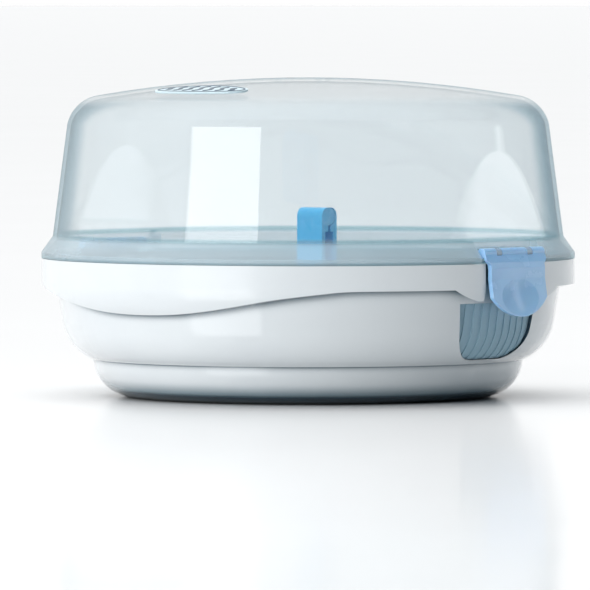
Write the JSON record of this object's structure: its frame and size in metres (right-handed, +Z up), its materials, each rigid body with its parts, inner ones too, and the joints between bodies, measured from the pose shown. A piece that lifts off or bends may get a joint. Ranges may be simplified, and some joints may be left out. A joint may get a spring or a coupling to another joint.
{
  "type": "bottle sterilizer",
  "caption": "Round microwave steam steriliser for baby bottles: white bowl, clear domed lid with hinged side clips, bottle rack and stored tongs.",
  "frame": {"origin": "on the floor at the middle of the foot ring", "axes": "+Z up, +X through the right-hand clip, -Y towards the side with the lid's emblem"},
  "size_m": [0.288, 0.28, 0.167],
  "materials": {
    "white_plastic": "glossy white",
    "clear_plastic": "clear with a faint blue tint",
    "clip_plastic": "translucent blue",
    "grip_rubber": "soft, ribbed",
    "emblem_plastic": "satin",
    "pin_plastic": "satin",
    "rack_plastic": "satin white",
    "tongs_plastic": "bright blue"
  },
  "bodies": {
    "base": {"base_bowl": "white_plastic", "grip_right": "grip_rubber", "grip_left": "grip_rubber"},
    "lid": {"lid_dome": "clear_plastic", "lid_emblem": "emblem_plastic"},
    "clip_right": {"clip_right": "clip_plastic", "clip_pin_right": "pin_plastic"},
    "clip_left": {"clip_left": "clip_plastic", "clip_pin_left": "pin_plastic"},
    "rack": {"bottle_rack": "rack_plastic"},
    "tongs": {"tongs_fixed_arm": "tongs_plastic", "tongs_pin": "pin_plastic"},
    "tongs_arm": {"tongs_moving_arm": "tongs_plastic"}
  },
  "joints": [
    {"name": "lid_lift", "type": "slide", "parent": "base", "child": "lid", "axis": [0, 0, 1], "range_m": [0, 0.3]},
    {"name": "clip_right_swing", "type": "hinge", "parent": "lid", "child": "clip_right", "pos_m": [0.1361, 0, 0.0778], "axis": [0, -1, 0], "range_deg": [0, 100]},
    {"name": "clip_left_swing", "type": "hinge", "parent": "lid", "child": "clip_left", "pos_m": [-0.1361, 0, 0.0778], "axis": [0, 1, 0], "range_deg": [0, 100]},
    {"name": "rack_lift", "type": "slide", "parent": "base", "child": "rack", "axis": [0, 0, 1], "range_m": [0, 0.135]},
    {"name": "tongs_lift", "type": "slide", "parent": "rack", "child": "tongs", "axis": [0, 0, 1], "range_m": [0, 0.06]},
    {"name": "tongs_squeeze", "type": "hinge", "parent": "tongs", "child": "tongs_arm", "pos_m": [0.006, 0, 0.0944], "axis": [-1, 0, 0], "range_deg": [0, 4], "stiffness_Nm_per_rad": 0.3}
  ],
  "couplings": [
    {"joint": "rack_lift", "follows": "lid_lift", "ratio": 0.45},
    {"joint": "tongs_lift", "follows": "lid_lift", "ratio": 0.2}
  ]
}
